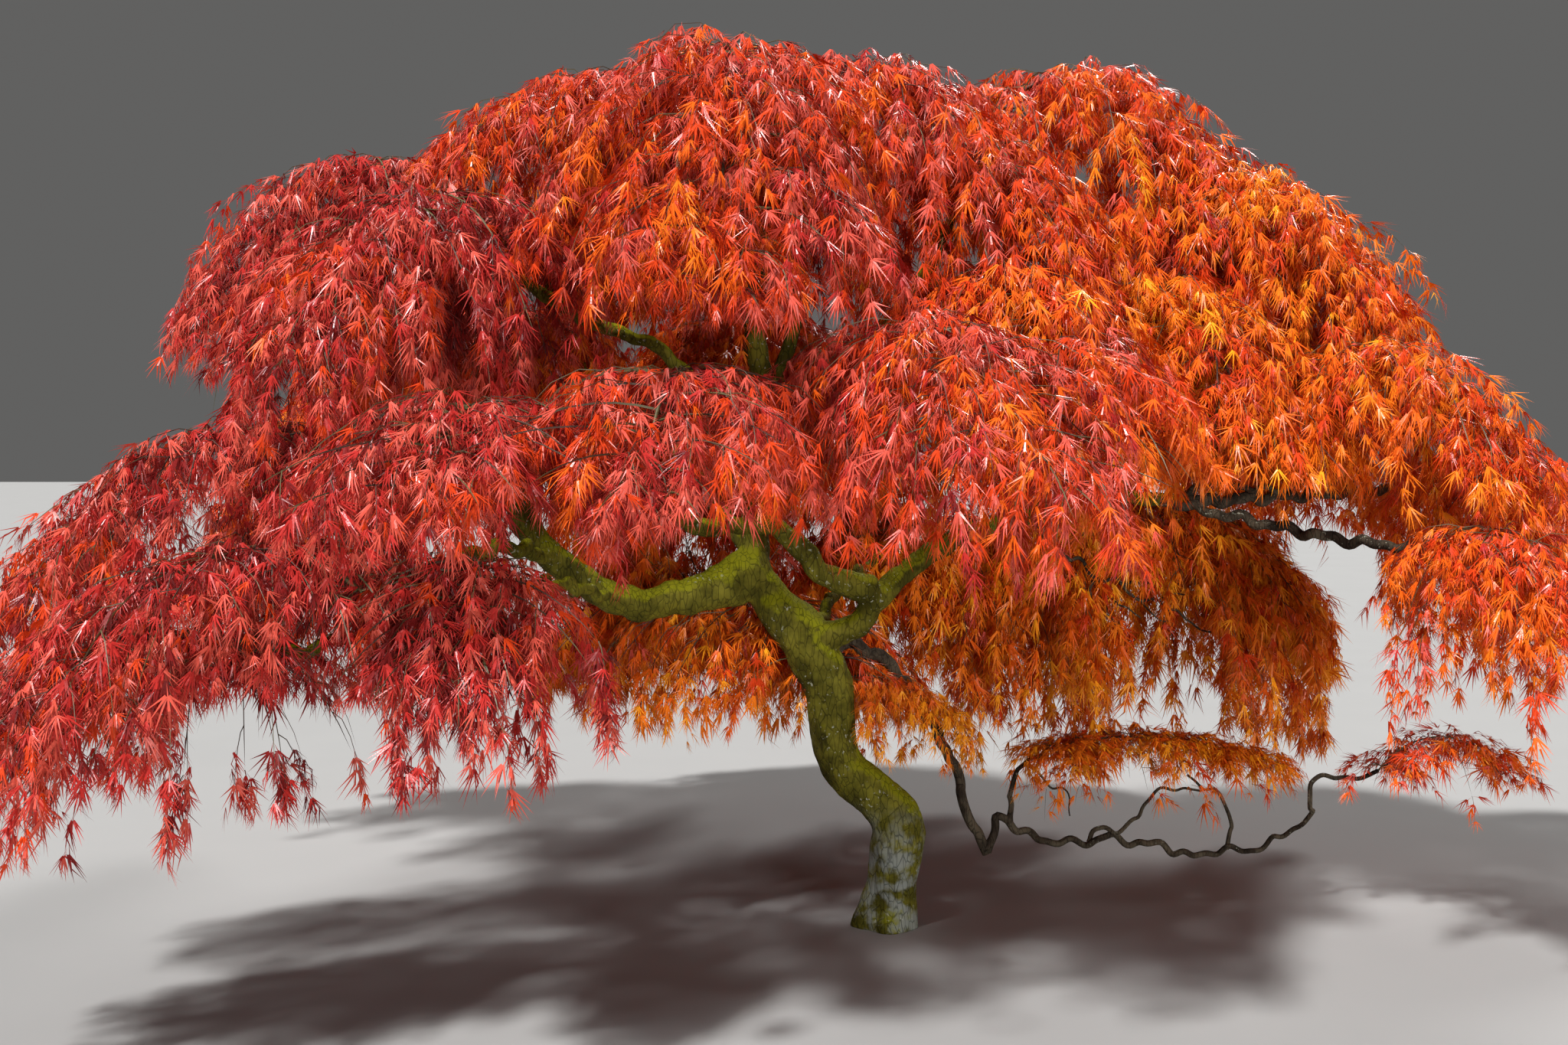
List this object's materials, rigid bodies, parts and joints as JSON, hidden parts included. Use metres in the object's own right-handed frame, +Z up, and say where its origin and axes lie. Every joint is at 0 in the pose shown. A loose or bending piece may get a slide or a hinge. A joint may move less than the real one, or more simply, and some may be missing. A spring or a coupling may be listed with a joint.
{
  "type": "japanese maple tree",
  "caption": "Weeping cut-leaf maple with a short leaning trunk, crooked mossy boughs and a wide layered crown of hanging red and orange foliage.",
  "frame": {"origin": "middle of the flat cut under the trunk, at ground level", "axes": "+Z up, +X to the right and -Y towards the viewer of the front, with the crown's widest spread along X"},
  "size_m": [7.1196, 5.1075, 3.8271],
  "materials": {
    "trunk_bark": "rough mossy olive-brown bark with grey-blue lichen at the foot",
    "bough_bark": "rough olive-brown bark with moss on the upper sides",
    "dark_bark": "dark brown weathered bark",
    "twig_bark": "thin olive-green and brown shoots",
    "crimson_leaves": "thin matt leaves, crimson",
    "rose_leaves": "thin matt leaves, rose red",
    "scarlet_leaves": "thin matt leaves, scarlet",
    "vermilion_leaves": "thin matt leaves, vermilion",
    "orange_leaves": "thin matt leaves, orange",
    "amber_leaves": "thin matt leaves, amber brown",
    "wine_leaves": "thin matt leaves, dark wine red"
  },
  "bodies": {
    "root": {"trunk": "trunk_bark", "back_left_bough": "bough_bark", "back_mid_bough": "bough_bark", "back_right_bough": "bough_bark", "curtain_mid_bough": "bough_bark", "curtain_right_bough": "bough_bark", "front_mid_bough": "bough_bark", "front_right_bough": "bough_bark", "hook_lower": "bough_bark", "hook_upper": "bough_bark", "leader": "bough_bark", "left_bough": "bough_bark", "left_foot_bough": "bough_bark", "left_front_bough": "bough_bark", "left_high_bough": "bough_bark", "left_low_bough": "bough_bark", "left_shoulder_bough": "bough_bark", "low_limb": "dark_bark", "low_riser": "dark_bark", "low_run": "dark_bark", "rear_right_bough": "bough_bark", "rear_right_shoulder_bough": "bough_bark", "right_bough": "bough_bark", "right_high_bough": "bough_bark", "right_lower": "bough_bark", "right_mid_bough": "bough_bark", "right_upper": "bough_bark", "side_right_bough": "bough_bark", "top_back_bough": "bough_bark", "top_front_bough": "bough_bark", "top_right_bough": "bough_bark", "foliage_back_left": "vermilion_leaves", "foliage_back_low_left": "amber_leaves", "foliage_back_mid": "orange_leaves", "foliage_back_right": "orange_leaves", "foliage_curtain_mid": "amber_leaves", "foliage_curtain_right": "amber_leaves", "foliage_front_left": "crimson_leaves", "foliage_front_mid": "scarlet_leaves", "foliage_front_right": "scarlet_leaves", "foliage_left_foot": "crimson_leaves", "foliage_left_front": "crimson_leaves", "foliage_left_high": "crimson_leaves", "foliage_left_low": "crimson_leaves", "foliage_left_mid": "crimson_leaves", "foliage_left_shoulder": "crimson_leaves", "foliage_low_pad": "vermilion_leaves", "foliage_low_tip": "scarlet_leaves", "foliage_rear_right_high": "vermilion_leaves", "foliage_rear_right_shoulder": "orange_leaves", "foliage_right_far": "orange_leaves", "foliage_right_high": "vermilion_leaves", "foliage_right_low": "vermilion_leaves", "foliage_right_mid": "orange_leaves", "foliage_side_right": "vermilion_leaves", "foliage_top_back": "vermilion_leaves", "foliage_top_front": "scarlet_leaves", "foliage_top_left": "scarlet_leaves", "foliage_top_right": "scarlet_leaves", "foliage_trunk_side": "amber_leaves"}
  },
  "joints": []
}
